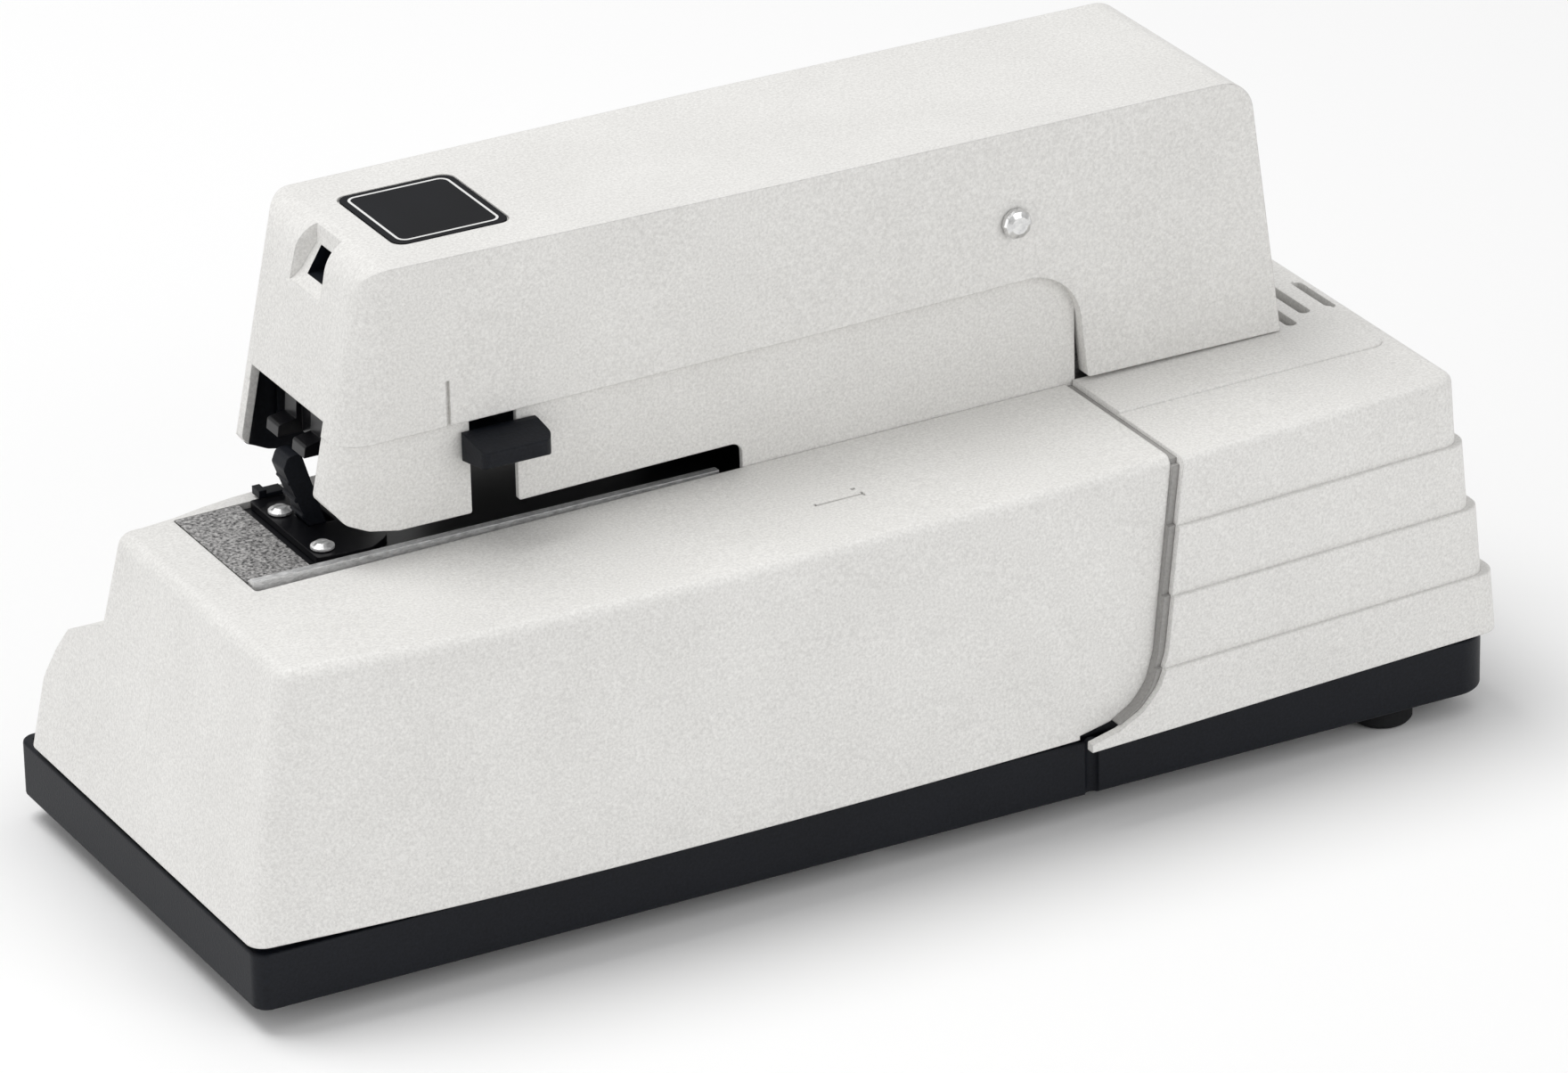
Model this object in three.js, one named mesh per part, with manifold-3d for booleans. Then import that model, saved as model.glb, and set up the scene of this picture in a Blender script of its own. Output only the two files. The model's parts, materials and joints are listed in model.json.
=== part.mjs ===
// Electric stapler for the desk: base with covers, swinging arm, staple magazine and motor drive.
// Millimetres. X runs from the staple throat (front) to the back, Y from the near side to the far
// side, Z up. The dimensions below are measured from the front edge of the base pan and its floor;
// the finished group is shifted so that its origin is the bottom centre of its bounding box.
import * as THREE from 'three';
import { mergeVertices } from 'three/addons/utils/BufferGeometryUtils.js';
import Module from 'manifold-3d';

const wasm = await Module();
wasm.setup();

// ---------------------------------------------------------------- driving dimensions
const GAP = 0.3; // between pieces that are fixed together
const FIT = 0.06; // radial clearance of a pin in its hole
const WALL = 2.4; // plastic covers

const PAN = { length: 346, halfWidth: 69, height: 15, wall: 2.5, lip: 20, front: 4, rear: 10 };
const FOOT = { radius: 8, height: 6 };
const FEET = [[40, -38], [40, 38], [319, -58], [319, 58]];
const SCREWS = [[17, -50], [17, 20], [172, -60], [172, 44], [300, -55], [300, 44]];

const COVER = { bottom: 17.5, top: 83.2, slope: 0.0127, slopeStart: 17, edge: 3, front: -1, lean: 14.3 };
const BLOCK_FAR = 36.4; // far wall of the tall part of the covers
const CHANNEL = { x0: 27.5, x1: 250, y0: -17.9, y1: 29.1 };
const REAR_OPENING = { x0: 249, x1: 296, y0: -17.9, y1: 34 };
const REAR_BOTTOM = 16;
const PARTING = 2; // width of the groove between the two covers
const TIERS = [
  { low: 69, high: 83.4, back: 337, out: 0 },
  { low: 51, high: 69, back: 340.3, out: 1.1 },
  { low: 32.5, high: 51, back: 344.1, out: 2.2 },
  { low: REAR_BOTTOM, high: 32.5, back: 348.1, out: 3.3 },
];
const TIER_CORNER = { near: 6, far: 9 };
const INLET = { back: 345.7, deep: 10.6, flange: 346.7, low: 34.4, high: 49.6 };
const VENTS = [[331.2, -13.7, 4.7], [323.4, -14.1, 20], [316.5, -18.9, 30]];
const VENT_WIDTH = 3.2;
const INLET_OPENINGS = { x: [333, 355], y: [[-22.2, 2.2], [10.8, 32.2]], z: [33.8, 50.2] };

const MID = 11.2; // centre plane of the arm and of the staples
const ARM = {
  noseHalf: 29.8,
  rearHalf: 31.8,
  skirtHalf: 28.8,
  cavityHalf: 27.3,
  taperEnd: 175,
  top: 158.4,
  topEdge: 2.5,
  wall: 2.45,
};
const PIVOT = { x: 235, z: 134.4, r: 3 };
const LEVER_NEAR = [-12.8, -10.8];
const LEVER_FAR = [30.2, 32.2];
const FRAME_NEAR = [-9.3, -7.3];
const FRAME_FAR = [26.6, 28.6];

const MAGAZINE = { x0: 66.3, x1: 202, half: 10, floor: 105.5, top: 119, sheet: 1.2, pinX: 196, pinZ: 109.5 };
const STAPLE = { half: 6.35, low: 107, high: 113.2, wire: 0.6 };
const PUSHER_ROD = { z: 115.5, r: 1.5 };

const CRANK = { x: 275, z: 40, teeth: 60, module: 1, throw: 2.3, pin: 4 };
const REDUCTION = { x: 237.5, z: 40, small: 15, large: 45, largeModule: 0.8 };
const MOTOR = { teeth: 12, angle: 20, radius: 21 };
const TAIL_PIN = { x: 288, z: 140, r: 3 };
const FINGER = { pivotX: 58, pivotZ: 70, pin: 1.5, y0: 8, y1: 14.8 };
const FACE = { x: 48, z: 99.6 }; // a point on the front of the arm
const FACE_LEAN = 0.208; // how far that face leans back for each millimetre of height
const LABEL = { x: [73.8, 104.5], y: [-6.4, 27.7], z: [157.9, 158.5], gap: 0.4 };
const EVERYWHERE = [-100, 420]; // reaches past the whole machine

// ---------------------------------------------------------------- colours
const FINISH = {
  cover: [0xd9d8d4, 0.62, 0],
  black: [0x14161a, 0.55, 0],
  rubber: [0x1d1d1e, 0.9, 0],
  seal: [0x8d8b87, 0.9, 0],
  steel: [0xb9bcc0, 0.35, 1],
  dark: [0x55575b, 0.55, 1],
  brass: [0xb8923f, 0.4, 1],
  board: [0x2c5a3a, 0.6, 0],
  label: [0x0d0e10, 0.35, 0],
};

const group = new THREE.Group();

// ---------------------------------------------------------------- helpers
function solid(geometry) {
  const bare = geometry.clone();
  bare.deleteAttribute('normal');
  bare.deleteAttribute('uv');
  const merged = mergeVertices(bare, 1e-4);
  return new wasm.Manifold(
    new wasm.Mesh({
      numProp: 3,
      vertProperties: new Float32Array(merged.attributes.position.array),
      triVerts: new Uint32Array(merged.index.array),
    }),
  );
}

function join(...solids) {
  return solids.reduce((sum, next) => sum.add(next));
}

function cut(body, ...tools) {
  return tools.reduce((left, tool) => left.subtract(tool), body);
}

function add(name, body, finish) {
  const mesh = body.getMesh();
  const geometry = new THREE.BufferGeometry();
  geometry.setAttribute('position', new THREE.BufferAttribute(new Float32Array(mesh.vertProperties), 3));
  geometry.setIndex(new THREE.BufferAttribute(new Uint32Array(mesh.triVerts), 1));
  geometry.computeVertexNormals();
  const [color, roughness, metalness] = FINISH[finish];
  const piece = new THREE.Mesh(geometry, new THREE.MeshStandardMaterial({ color, roughness, metalness }));
  piece.name = name;
  group.add(piece);
}

function box([x0, x1], [y0, y1], [z0, z1]) {
  const geometry = new THREE.BoxGeometry(x1 - x0, y1 - y0, z1 - z0);
  geometry.translate((x0 + x1) / 2, (y0 + y1) / 2, (z0 + z1) / 2);
  return solid(geometry);
}

// Round bar along an axis; [a, b] are its centre in the other two axes, in X, Y, Z order.
function rod(axis, [a, b], radius, from, to, segments = 24, endRadius = radius) {
  const geometry = new THREE.CylinderGeometry(endRadius, radius, to - from, segments);
  const middle = (from + to) / 2;
  if (axis === 'x') geometry.rotateZ(-Math.PI / 2).translate(middle, a, b);
  if (axis === 'y') geometry.translate(a, middle, b);
  if (axis === 'z') geometry.rotateX(Math.PI / 2).translate(a, b, middle);
  return solid(geometry);
}

// Corner list [a, b, radius] to a closed outline with round corners.
function rounded(corners, step = 18) {
  const outline = [];
  corners.forEach(([a, b, radius = 0], i) => {
    const here = new THREE.Vector2(a, b);
    const [pa, pb] = corners[(i + corners.length - 1) % corners.length];
    const [na, nb] = corners[(i + 1) % corners.length];
    const back = new THREE.Vector2(pa, pb).sub(here).normalize();
    const ahead = new THREE.Vector2(na, nb).sub(here).normalize();
    const half = Math.acos(THREE.MathUtils.clamp(back.dot(ahead), -1, 1)) / 2;
    if (radius === 0 || half > 1.55) {
      outline.push(here);
      return;
    }
    const reach = radius / Math.tan(half);
    const bisector = back.clone().add(ahead).normalize();
    const centre = here.clone().addScaledVector(bisector, radius / Math.sin(half));
    const start = here.clone().addScaledVector(back, reach).sub(centre);
    const sweep = Math.PI - 2 * half;
    const turn = Math.sign(back.x * ahead.y - back.y * ahead.x) * -1;
    const pieces = Math.max(2, Math.round(THREE.MathUtils.radToDeg(sweep) / step));
    for (let k = 0; k <= pieces; k += 1) {
      const spoke = start.clone().rotateAround(new THREE.Vector2(), (turn * sweep * k) / pieces);
      outline.push(spoke.add(centre));
    }
  });
  return outline;
}

const SWAP_FOR_X = new THREE.Matrix4().set(0, 0, 1, 0, 1, 0, 0, 0, 0, 1, 0, 0, 0, 0, 0, 1);
const SWAP_FOR_Y = new THREE.Matrix4().set(1, 0, 0, 0, 0, 0, 1, 0, 0, 1, 0, 0, 0, 0, 0, 1);

// Outline extruded along an axis: x takes (y, z) points, y takes (x, z) points, z takes (x, y).
function prism(axis, outline, from, to, edge = 0, inset = 0) {
  const shape = new THREE.Shape(outline.map((p) => (Array.isArray(p) ? new THREE.Vector2(...p) : p)));
  const geometry = new THREE.ExtrudeGeometry(shape, {
    depth: to - from - 2 * edge,
    bevelEnabled: edge > 0 || inset > 0,
    bevelThickness: edge,
    bevelSize: edge,
    bevelOffset: -edge - inset,
    bevelSegments: 3,
  });
  geometry.translate(0, 0, from + edge);
  if (axis === 'x') geometry.applyMatrix4(SWAP_FOR_X);
  if (axis === 'y') flip(geometry.applyMatrix4(SWAP_FOR_Y));
  return geometry;
}

// Swapping two axes turns a shape inside out; this turns its triangles back.
function flip(geometry) {
  const { array } = geometry.attributes.position;
  for (let i = 0; i < array.length; i += 9) {
    for (let k = 0; k < 3; k += 1) {
      [array[i + 3 + k], array[i + 6 + k]] = [array[i + 6 + k], array[i + 3 + k]];
    }
  }
}

// Corner list of a rectangle whose four corners share one radius.
function rectangle([a0, a1], [b0, b1], radius) {
  return [[a0, b0, radius], [a1, b0, radius], [a1, b1, radius], [a0, b1, radius]];
}

function grown([low, high], by) {
  return [low - by, high + by];
}

function plate(axis, corners, from, to, step = 18) {
  return solid(prism(axis, rounded(corners, step), from, to));
}

function move(geometry, rule) {
  const { position } = geometry.attributes;
  const point = new THREE.Vector3();
  for (let i = 0; i < position.count; i += 1) {
    point.fromBufferAttribute(position, i);
    rule(point);
    position.setXYZ(i, point.x, point.y, point.z);
  }
  return geometry;
}

function range(from, to, count) {
  return Array.from({ length: count + 1 }, (_, i) => from + ((to - from) * i) / count);
}

// Band of Y that is even about the centre plane of the arm.
function across(half) {
  return [MID - half, MID + half];
}

function clamp01(value) {
  return THREE.MathUtils.clamp(value, 0, 1);
}

// ---------------------------------------------------------------- base pan, feet and screws
function panCorners(inset) {
  const half = PAN.halfWidth - inset;
  const [x0, x1] = [inset, PAN.length - inset];
  const front = Math.max(PAN.front - inset, 1.5);
  const rear = PAN.rear - inset;
  return [[x0, -half, front], [x1, -half, rear], [x1, half, rear], [x0, half, front]];
}

// Rib that stands up inside the covers; it follows the narrower far side of the front cover.
function lipCorners(inset) {
  const near = -PAN.halfWidth + 2.4 + inset;
  const [x0, x1] = [2.6 + inset, PAN.length - 2.4 - inset];
  return [
    [x0, near, 3],
    [x1, near, PAN.rear - 2 - inset],
    [x1, 61.8 - inset, PAN.rear - 2 - inset],
    [60, 61.8 - inset],
    [27, 60.6 - inset],
    [x0 + 2.4, 56 - inset, 3],
    [x0 + 2.4, 31 - inset],
    [x0, 28 - inset],
  ];
}

function basePan() {
  const inner = PAN.wall;
  let pan = cut(
    plate('z', panCorners(0), 0, PAN.height),
    plate('z', panCorners(inner), PAN.wall, PAN.height + 1),
  );
  const lip = cut(plate('z', lipCorners(0), 1, PAN.lip), plate('z', lipCorners(1.8), 0, PAN.lip + 1));
  pan = join(pan, lip);
  for (const [x, y] of [[55, -54], [55, -24], [145, -54], [145, -24]]) {
    pan = join(pan, rod('z', [x, y], 3.5, 1, 13.7, 16));
  }
  for (const side of [-1, 1]) {
    const y = side * (PAN.halfWidth + 0.4);
    pan = cut(pan, rod('z', [228, y], 2, -1, PAN.height + 1, 16));
  }
  for (const [x, y] of SCREWS) pan = cut(pan, rod('z', [x, y], 1.25 + FIT, -1, PAN.wall + 1, 16));
  for (const [x, y] of FEET) pan = cut(pan, rod('z', [x, y], 3, -1, PAN.wall + 1, 16));
  add('base_pan', pan, 'black');
}

function feet() {
  const places = ['front_near', 'front_far', 'rear_near', 'rear_far'];
  FEET.forEach(([x, y], i) => {
    const disc = rod('z', [x, y], FOOT.radius - 0.8, -FOOT.height, -FOOT.height + 1, 28, FOOT.radius);
    const body = rod('z', [x, y], FOOT.radius, -FOOT.height + 1, -GAP, 28);
    const plug = rod('z', [x, y], 3 - FIT, -GAP - 0.5, PAN.wall, 16);
    add(`foot_${places[i]}`, join(disc, body, plug), 'rubber');
  });
}

function baseScrews() {
  SCREWS.forEach(([x, y], i) => {
    const head = rod('z', [x, y], 3.2, -1.8, -0.2, 16);
    const shank = rod('z', [x, y], 1.25, -0.4, 13, 12);
    const slot = box([x - 4, x + 4], [y - 0.4, y + 0.4], [-3, -1.2]);
    add(`base_screw_${i + 1}`, cut(join(head, shank), slot), 'steel');
  });
}

// ---------------------------------------------------------------- covers
function nearBottom(x) {
  const bend = x < 110 ? 4.9 : 2.6;
  return -74.9 + bend * ((x - 110) / 110) ** 2;
}

function nearTop(x) {
  return -71.4 + 8.7 * Math.abs((x - 165) / 152) ** 2.6;
}

function farTop(x) {
  return BLOCK_FAR - 4.7 * clamp01((50 - x) / 37) ** 2;
}

// Draft of the front cover: walls lean in towards the top and the top rises towards the back.
function leanIn(p) {
  const t = (p.z - COVER.bottom) / (COVER.top - COVER.bottom);
  const near = 1 + t * (nearTop(p.x) / nearBottom(p.x) - 1);
  const far = 1 + t * (farTop(p.x) / BLOCK_FAR - 1);
  p.y *= p.y < 0 ? near : far;
  p.z += Math.max(t, 0) * COVER.slope * (p.x - COVER.slopeStart);
  p.x += COVER.lean * t * clamp01(1 - (p.x - COVER.front) / 100);
}

function frontBlock(inset, bottom, top) {
  const near = range(6, 300, 28).map((x) => [x, nearBottom(x)]);
  const far = range(300, 6, 12).map((x) => [x, BLOCK_FAR]);
  const corners = [[COVER.front, nearBottom(0), 4], ...near, ...far, [COVER.front, BLOCK_FAR, 4]];
  const edge = Math.max(COVER.edge - inset, 1);
  return solid(move(prism('z', rounded(corners), bottom - edge, top - inset, edge, inset), leanIn));
}

const SHELF_LEAN = 0.49; // how far the far wall leans in for each millimetre of height

function shelfProfile(inset, grow, bottom) {
  const out = grow - inset;
  return [
    [0, bottom],
    [66 + out + SHELF_LEAN * (COVER.bottom - bottom), bottom],
    [52.5 + out, 45 + out, 4],
    [48 + out, 51.5 + out, 4],
    [33 + out, 58.5 + out],
    [0, 58.5 + out],
  ];
}

function shelfBar(inset, grow, bottom) {
  return plate('x', shelfProfile(inset, grow, bottom), -20, 400, 22);
}

function leanFront(p) {
  const t = (p.z - COVER.bottom) / (COVER.top - COVER.bottom);
  p.x += COVER.lean * t * clamp01(1 - (p.x - COVER.front) / 100);
}

// Low shelf along the far side; its plan narrows towards the front.
function shelfBlock(inset, bottom) {
  const front = COVER.front + inset;
  const plan = [
    [front, -10],
    [330, -10],
    [330, 70],
    [60, 66 - inset],
    [27, 64.4 - inset],
    [front, 60 - inset, 5],
  ];
  const outline = solid(move(prism('z', rounded(plan), -20, 100), leanFront));
  return shelfBar(inset, 0, bottom).intersect(outline);
}

// The groove leans forward as it goes down and closes up where it runs out above the pan.
function partingZone(shift) {
  return [
    [254.8 + shift, 120],
    [244.6 + shift, 36, 10],
    [242.3 + 0.7 * shift, 28.5 - 0.1 * shift, 8],
    [238 + 0.4 * shift, 23.6 - 0.25 * shift, 8],
    [231.5, 20.2 - 0.25 * shift],
    [222.8 + 0.3 * shift, 18.6 - 0.25 * shift],
    [222.8 + 0.3 * shift, -10],
    [420, -10],
    [420, 120],
  ];
}

function rearZone(shift) {
  return plate('y', partingZone(shift), -100, 100);
}

function boss([x, y], top) {
  return rod('z', [x, y], 4, 3.2, top, 20);
}

function pilot([x, y]) {
  return rod('z', [x, y], 1.25 + FIT, 0, 14, 16);
}

function frontCover() {
  const outside = join(
    frontBlock(0, COVER.bottom, COVER.top),
    shelfBlock(0, COVER.bottom - 5),
  );
  const inside = join(
    frontBlock(WALL, COVER.bottom - 8, COVER.top),
    shelfBlock(WALL, COVER.bottom - 8),
  );
  let cover = cut(outside, inside, box(EVERYWHERE, EVERYWHERE, [-20, COVER.bottom]));
  const bosses = [[SCREWS[0], 81.6], [SCREWS[1], 81.6], [SCREWS[2], 83.8], [SCREWS[3], 50]];
  for (const [place, top] of bosses) cover = join(cover, boss(place, top));
  cover = cut(cover, box([CHANNEL.x0, 420], [CHANNEL.y0, CHANNEL.y1], [70, 120]));
  cover = cut(cover, rearZone(0), ...SCREWS.slice(0, 4).map(pilot));
  add('front_cover', cover, 'cover');
}

function rearNear(x) {
  return -71.6 + 0.067 * (x - 260);
}

function rearRise(p) {
  p.z += clamp01((p.z - 69) / 14) * COVER.slope * (p.x - COVER.slopeStart);
}

// One step of the rear cover, from the near wall round the back corner to the wall at y = far.
function rearTier({ low, high, back, out }, inset, far) {
  const near = range(222, back - 10, 8).map((x) => [x, rearNear(x) - out + inset]);
  const corners = [
    ...near,
    [back - inset, rearNear(back) - out + inset, TIER_CORNER.near - inset],
    [back - inset, far - inset, TIER_CORNER.far - inset],
    [222, far - inset],
  ];
  const top = high - (high === TIERS[0].high ? inset : 0);
  const lean = (p) => {
    p.x += 0.09 * clamp01((p.x - 300) / 30) * (low - p.z);
    rearRise(p);
  };
  return solid(move(prism('z', rounded(corners, 11), low - 0.2, top), lean));
}

function rearBlock(inset, drop) {
  const tiers = TIERS.map((tier) => ({ ...tier, low: tier.low - drop }));
  const tall = tiers.map((tier) => rearTier(tier, inset, BLOCK_FAR + 0.6));
  const wide = tiers.map((tier) => rearTier(tier, inset, 67));
  return join(...tall, join(...wide).intersect(shelfBar(inset, 1, REAR_BOTTOM - 5 - inset)));
}

function rearCover() {
  const step = [[222, -40.5], [331, -40.5, 4], [331, 24, 14], [318, BLOCK_FAR, 8], [222, BLOCK_FAR]];
  const raised = solid(move(prism('z', rounded(step), 83, TIERS[0].high + 0.6), rearRise));
  const outside = join(rearBlock(0, 0), raised);
  let cover = cut(outside, rearBlock(WALL, 3), box(EVERYWHERE, EVERYWHERE, [-20, REAR_BOTTOM]));
  cover = join(cover, boss(SCREWS[4], 85.5), boss(SCREWS[5], 50.6));
  const { x0, x1, y0, y1 } = REAR_OPENING;
  cover = cut(cover, plate('z', [[x0, y0], [x1, y0, 2], [x1, y1, 2], [x0, y1]], 78, 120));
  for (const [x, near, far] of VENTS) {
    const slot = rectangle(grown([x, x], VENT_WIDTH / 2), [near, far], 1.5);
    cover = cut(cover, plate('z', slot, 80, 100));
  }
  for (const y of INLET_OPENINGS.y) cover = cut(cover, box(INLET_OPENINGS.x, y, INLET_OPENINGS.z));
  cover = cover.intersect(rearZone(PARTING));
  add('rear_cover', cut(cover, ...SCREWS.slice(4).map(pilot)), 'cover');
}

// Soft strips that close the groove between the two covers, a little below their surface.
function coverSeals() {
  const depth = 0.7;
  const outside = join(
    frontBlock(depth, COVER.bottom + 3, COVER.top),
    shelfBlock(depth, COVER.bottom),
  );
  const inside = join(
    frontBlock(WALL, COVER.bottom - 8, COVER.top),
    shelfBlock(WALL, COVER.bottom - 8),
  );
  const band = cut(rearZone(GAP), rearZone(PARTING - GAP), box(EVERYWHERE, EVERYWHERE, [-20, 30]));
  const strip = cut(outside, inside).intersect(band);
  add('cover_seal_near', cut(strip, box(EVERYWHERE, [CHANNEL.y0, 100], [0, 120])), 'seal');
  add('cover_seal_far', cut(strip, box(EVERYWHERE, [-100, CHANNEL.y1], [0, 120])), 'seal');
}

// ---------------------------------------------------------------- arm housing
function armSection() {
  const [y0, y1] = across(ARM.rearHalf);
  const section = [[y0, 60], [y1, 60], [y1, ARM.top, ARM.topEdge], [y0, ARM.top, ARM.topEdge]];
  return plate('x', section, 30, 330, 22);
}

function armPlan() {
  const [noseNear, noseFar] = across(ARM.noseHalf);
  const [rearNear, rearFar] = across(ARM.rearHalf);
  return [
    [FACE.x, noseNear, 8.5],
    [ARM.taperEnd, rearNear],
    [330, rearNear],
    [330, rearFar],
    [ARM.taperEnd, rearFar],
    [FACE.x, noseFar, 8.5],
  ];
}

// Upright block with a rounded plan whose front corners follow the leaning face of the arm.
function leaningBlock(plan) {
  return solid(move(prism('z', rounded(plan, 15), 60, 170), leanBack));
}

function noseCorners(front, half, corner) {
  const [near, far] = across(half);
  return [[front, near, corner], [330, near], [330, far], [front, far, corner]];
}

// The front face leans back towards the top, so the rounded plan leans with it.
function leanBack(p) {
  p.x += FACE_LEAN * (p.z - FACE.z) * clamp01((200 - p.x) / 150);
}

function faceX(z) {
  return FACE.x + FACE_LEAN * (z - FACE.z);
}

function armUpper() {
  const profile = [
    [faceX(114) - 1, 114],
    [107, 115.5],
    [225, 117.8],
    [252.2, 118.7, 15],
    [255.6, 88.1, 1],
    [311.6, 88.1],
    [302.3, ARM.top, 9],
    [faceX(ARM.top) - 1, ARM.top, 9],
  ];
  const side = plate('y', profile, -40, 60, 15);
  return side.intersect(leaningBlock(armPlan())).intersect(armSection());
}

function armSkirt() {
  const profile = [
    [faceX(150), 150],
    [48.2, 99.3],
    [52, 94.5, 4],
    [58, 91.6, 5],
    [66, 90],
    [85.6, 90],
    [85.6, 115],
    [98.3, 115],
    [98.3, 90.4],
    [159.5, 91.6, 3],
    [159.5, 77, 1.5],
    [253.5, 77, 1.5],
    [253.5, 130],
    [240, 150],
  ];
  const outline = plate('y', profile, ...across(ARM.skirtHalf));
  return outline.intersect(leaningBlock(noseCorners(FACE.x, ARM.skirtHalf, 7)));
}

function armHollow() {
  const profile = [
    [faceX(60) - 1, 60],
    [faceX(156) - 1, 156],
    [300.2, 156, 6.5],
    [309.2, 60],
  ];
  const plan = noseCorners(FACE.x + ARM.wall, ARM.cavityHalf, 5.5);
  return plate('y', profile, -40, 60).intersect(leaningBlock(plan));
}

// Sloping notch in the top of the nose, narrower towards the back, over the screwdriver hole.
function screwNotch() {
  const profile = [[50, 144], [57.5, 144], [60, 146.4], [64, 153], [64.6, 170], [50, 170]];
  const plan = [[45, 1.5], [58, 3], [66, 4.4], [66, 17], [58, 19.4], [45, 21]];
  return plate('y', profile, 0, 30).intersect(plate('z', plan, 130, 180));
}

function armHousing() {
  const upper = armUpper();
  const pocket = box([57, 70], [0.6, 21.4], [142, 157]).intersect(upper);
  const housing = join(cut(join(upper, armSkirt()), armHollow()), pocket);
  add('arm_housing', cut(
    housing,
    screwNotch(),
    box([58, 72], [6.3, 15.2], [146.4, 153]),
    box([30, 57], [-7.5, 32], [60, 118]),
    box([50.2, 56], [-16, -12], [80, 97]), // room for the guide rail when the arm is down
    rod('z', [79.7, MID - ARM.noseHalf - 0.3], 0.8, 114, 126.6, 10),
    box(grown(LABEL.x, LABEL.gap), grown(LABEL.y, LABEL.gap), [LABEL.z[0] - GAP, 170]),
    rod('y', [PIVOT.x, PIVOT.z], PIVOT.r + FIT, -40, 60),
  ), 'cover');
}

// Black sheet inside the nose that hides the mechanism behind the paper throat.
function noseGuard() {
  const [y0, y1] = across(ARM.cavityHalf - GAP);
  const [length, height] = [[60.5, 80], [98, 127.2]];
  const near = box(length, [y0, y0 + 1], height);
  const far = box(length, [y1 - 1, y1], height);
  add('nose_guard', join(near, far, box([66.8, 68.8], [y0, y1], [124.2, 127.2])), 'black');
}

function namePlate() {
  add('name_plate', plate('z', rectangle(LABEL.x, LABEL.y, 3), ...LABEL.z), 'label');
}

// ---------------------------------------------------------------- pivot
function pivotPin() {
  const { x, z, r } = PIVOT;
  const [headRadius, grooveRadius] = [3.95, 2.4];
  const pin = join(
    rod('y', [x, z], grooveRadius, -23.5, -22.6, 24, headRadius),
    rod('y', [x, z], headRadius, -22.6, -20.9),
    rod('y', [x, z], r, -21, 43.3),
    rod('y', [x, z], grooveRadius, 43.2, 44.6),
    rod('y', [x, z], r, 44.5, 45.5),
  );
  add('pivot_pin', pin, 'steel');
  const ring = cut(
    rod('y', [x, z], 5.5, 43.5, 44.3),
    rod('y', [x, z], grooveRadius + FIT, 43, 45),
    box([x - 2, x + 2], [43, 45], [z - 8, z]),
  );
  add('pivot_clip', ring, 'steel');
}

// ---------------------------------------------------------------- table, rail and anvil
function fingerSlot() {
  return box([53.7, 60.9], grown([FINGER.y0, FINGER.y1], 0.6), [60, 90]);
}

function tablePlate() {
  add('table_plate', box([27.8, 45], [-12.1, 28.8], [81.6, 83.3]), 'dark');
}

function guideRail() {
  const rail = box([28, 154], [-15.7, -12.4], [79, 84.5]);
  add('guide_rail', cut(rail, box([20, 160], [-13.4, -12], [83.9, 86])), 'steel');
}

const ANVIL_SCREWS = [[51.2, 18.2], [51.2, -5.4]];

function bedPlate() {
  let sheet = cut(box([45.3, 203], [-12.1, 28.6], [80.5, 82]), fingerSlot());
  for (const place of ANVIL_SCREWS) sheet = cut(sheet, rod('z', place, 1.5 + FIT, 70, 90, 16));
  add('bed_plate', sheet, 'black');
}

function anvilPlate() {
  const corners = [[47.7, -10, 1], [62, -11, 4], [69, -6, 6], [69, 26, 4], [66, 28.4, 2], [47.7, 28.4, 1]];
  let anvil = cut(plate('z', corners, 82.3, 84), fingerSlot());
  for (const place of ANVIL_SCREWS) anvil = cut(anvil, rod('z', place, 1.5 + FIT, 70, 90, 16));
  for (const side of [-1, 1]) {
    const middle = MID + side * 3.4;
    anvil = cut(anvil, box([61.6, 63.4], grown([middle, middle], 2.9), [83.4, 85]));
  }
  add('anvil_plate', anvil, 'black');
  ANVIL_SCREWS.forEach((place, i) => {
    const [x, y] = place;
    const screw = join(
      rod('z', place, 3, 84.3, 84.9, 20),
      rod('z', place, 3, 84.8, 85.8, 20, 1.6),
      rod('z', place, 1.5, 75, 84.5, 16),
    );
    const slot = box([x - 4, x + 4], [y - 0.4, y + 0.4], [85.2, 87]);
    add(`anvil_screw_${i + 1}`, cut(screw, slot), 'steel');
  });
}

function paperStop() {
  const width = [27.4, 31.5];
  const clip = join(box([50, 57], width, [84.3, 85.3]), box([50, 52], width, [85.1, 86.3]));
  add('paper_stop_clip', clip, 'black');
}

// ---------------------------------------------------------------- trigger
function trigger() {
  const { pivotX, pivotZ, pin, y0, y1 } = FINGER;
  const profile = [
    [55.2, 60, 0.8],
    [58.6, 60, 0.8],
    [61.8, 67, 3],
    [61.4, 73, 3],
    [58.6, 84],
    [56.2, 92],
    [52.8, 103.4, 1.2],
    [49.2, 103, 1.4],
    [48, 100, 1],
    [49.6, 95.5],
    [51.9, 89.3],
    [54.2, 83.5],
    [54.6, 73, 3],
    [54.4, 67, 2],
  ];
  let finger = plate('y', profile, y0, y1);
  for (const [x, z] of [[53, 86.6], [51.2, 91.3], [49.7, 96.2]]) {
    finger = join(finger, rod('y', [x, z], 0.7, y0, y1, 10));
  }
  finger = cut(finger, rod('y', [pivotX, pivotZ], pin + FIT, -20, 40, 20));
  add('trigger_finger', finger, 'black');
  add('trigger_pin', rod('y', [pivotX, pivotZ], pin, -10, 29.2, 20), 'steel');
  const plunger = box([50.3, 54], [9.8, 13], [60.5, 63]);
  add('microswitch', join(box([38.4, 50.5], [6.4, 16.4], [54, 68]), plunger), 'black');
}

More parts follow.
